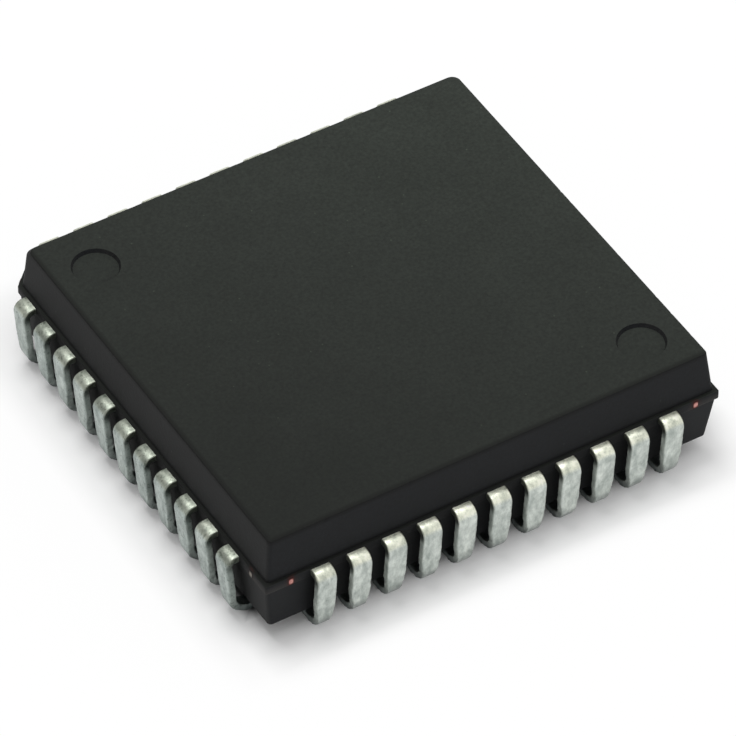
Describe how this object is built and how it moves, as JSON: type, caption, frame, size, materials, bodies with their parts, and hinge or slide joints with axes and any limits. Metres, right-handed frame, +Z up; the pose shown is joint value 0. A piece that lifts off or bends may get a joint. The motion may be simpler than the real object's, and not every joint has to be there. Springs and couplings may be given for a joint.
{
  "type": "plcc chip",
  "caption": "Square moulded chip carrier with J-shaped solder leads curled under all of its sides and an index bevel and corner.",
  "frame": {"origin": "middle of the seating plane, where the leads' feet touch the board", "axes": "+Z up out of the top face, +Y towards the index bevel (the side of pin 1), +X so that the index corner is at -X, +Y"},
  "size_m": [0.0176, 0.0176, 0.0043],
  "materials": {
    "mould_compound": "matte, fine grained black epoxy",
    "tin_plate": "satin tin plating",
    "bare_copper": "sheet copper",
    "silver_film": "silver-filled epoxy",
    "silicon": "polished silicon",
    "gold_wire": "drawn gold"
  },
  "bodies": {
    "root": {"package_body": "mould_compound", "die_pad": "bare_copper", "die_attach": "silver_film", "die": "silicon", "bond_wires": "gold_wire", "lead_01": "tin_plate", "lead_02": "tin_plate", "lead_03": "tin_plate", "lead_04": "tin_plate", "lead_05": "tin_plate", "lead_06": "tin_plate", "lead_07": "tin_plate", "lead_08": "tin_plate", "lead_09": "tin_plate", "lead_10": "tin_plate", "lead_11": "tin_plate", "lead_12": "tin_plate", "lead_13": "tin_plate", "lead_14": "tin_plate", "lead_15": "tin_plate", "lead_16": "tin_plate", "lead_17": "tin_plate", "lead_18": "tin_plate", "lead_19": "tin_plate", "lead_20": "tin_plate", "lead_21": "tin_plate", "lead_22": "tin_plate", "lead_23": "tin_plate", "lead_24": "tin_plate", "lead_25": "tin_plate", "lead_26": "tin_plate", "lead_27": "tin_plate", "lead_28": "tin_plate", "lead_29": "tin_plate", "lead_30": "tin_plate", "lead_31": "tin_plate", "lead_32": "tin_plate", "lead_33": "tin_plate", "lead_34": "tin_plate", "lead_35": "tin_plate", "lead_36": "tin_plate", "lead_37": "tin_plate", "lead_38": "tin_plate", "lead_39": "tin_plate", "lead_40": "tin_plate", "lead_41": "tin_plate", "lead_42": "tin_plate", "lead_43": "tin_plate", "lead_44": "tin_plate"}
  },
  "joints": []
}
